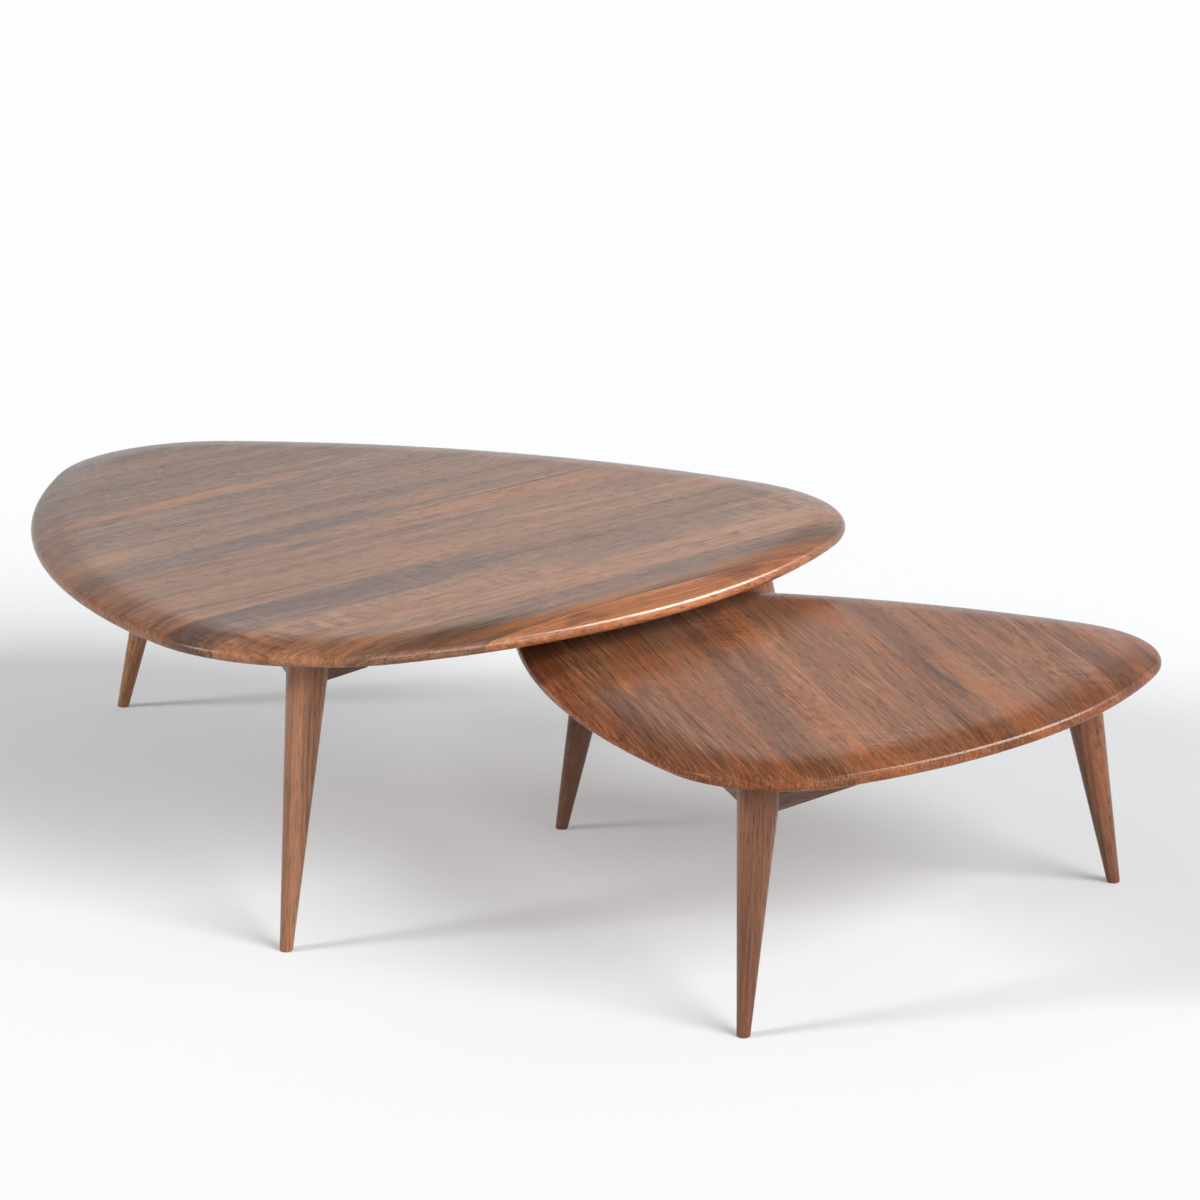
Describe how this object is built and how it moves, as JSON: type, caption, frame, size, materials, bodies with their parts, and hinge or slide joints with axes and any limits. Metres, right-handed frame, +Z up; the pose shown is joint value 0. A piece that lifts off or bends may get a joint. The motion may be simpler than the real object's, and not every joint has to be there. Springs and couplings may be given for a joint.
{
  "type": "nesting tables",
  "caption": "Low nesting tables with rounded-triangle edge-glued wood tops on splayed tapered round legs, the smaller standing partly under the larger.",
  "frame": {"origin": "on the floor under the middle of the pair's bounding box", "axes": "+Z up; +X to the right along the pair, from the large table's side to the small table's side; +Y to the back"},
  "size_m": [1.4454, 1.377, 0.38],
  "materials": {
    "large_top_walnut": "satin",
    "small_top_walnut": "satin",
    "leg_walnut": "satin",
    "rail_walnut": "satin",
    "steel": "zinc plated"
  },
  "bodies": {
    "large_table": {"large_back_rail": "rail_walnut", "large_front_leg": "leg_walnut", "large_left_leg": "leg_walnut", "large_left_rail": "rail_walnut", "large_right_leg": "leg_walnut", "large_right_rail": "rail_walnut", "large_stave_01": "large_top_walnut", "large_stave_02": "large_top_walnut", "large_stave_03": "large_top_walnut", "large_stave_04": "large_top_walnut", "large_stave_05": "large_top_walnut", "large_stave_06": "large_top_walnut", "large_stave_07": "large_top_walnut", "large_stave_08": "large_top_walnut", "large_stave_09": "large_top_walnut", "large_stave_10": "large_top_walnut", "large_stave_11": "large_top_walnut", "large_stave_12": "large_top_walnut", "large_stave_13": "large_top_walnut", "large_stave_14": "large_top_walnut", "large_stave_15": "large_top_walnut", "large_stave_16": "large_top_walnut", "large_top_plates": "steel", "large_top_screws": "steel"},
    "small_table": {"small_back_rail": "rail_walnut", "small_front_leg": "leg_walnut", "small_left_leg": "leg_walnut", "small_left_rail": "rail_walnut", "small_right_leg": "leg_walnut", "small_right_rail": "rail_walnut", "small_stave_01": "small_top_walnut", "small_stave_02": "small_top_walnut", "small_stave_03": "small_top_walnut", "small_stave_04": "small_top_walnut", "small_stave_05": "small_top_walnut", "small_stave_06": "small_top_walnut", "small_stave_07": "small_top_walnut", "small_stave_08": "small_top_walnut", "small_stave_09": "small_top_walnut", "small_stave_10": "small_top_walnut", "small_stave_11": "small_top_walnut", "small_stave_12": "small_top_walnut", "small_top_plates": "steel", "small_top_screws": "steel"}
  },
  "joints": [
    {"name": "nest_slide", "type": "slide", "parent": "large_table", "child": "small_table", "axis": [-0.7691, 0.6391, 0], "range_m": [-0.3, 0.3]}
  ]
}
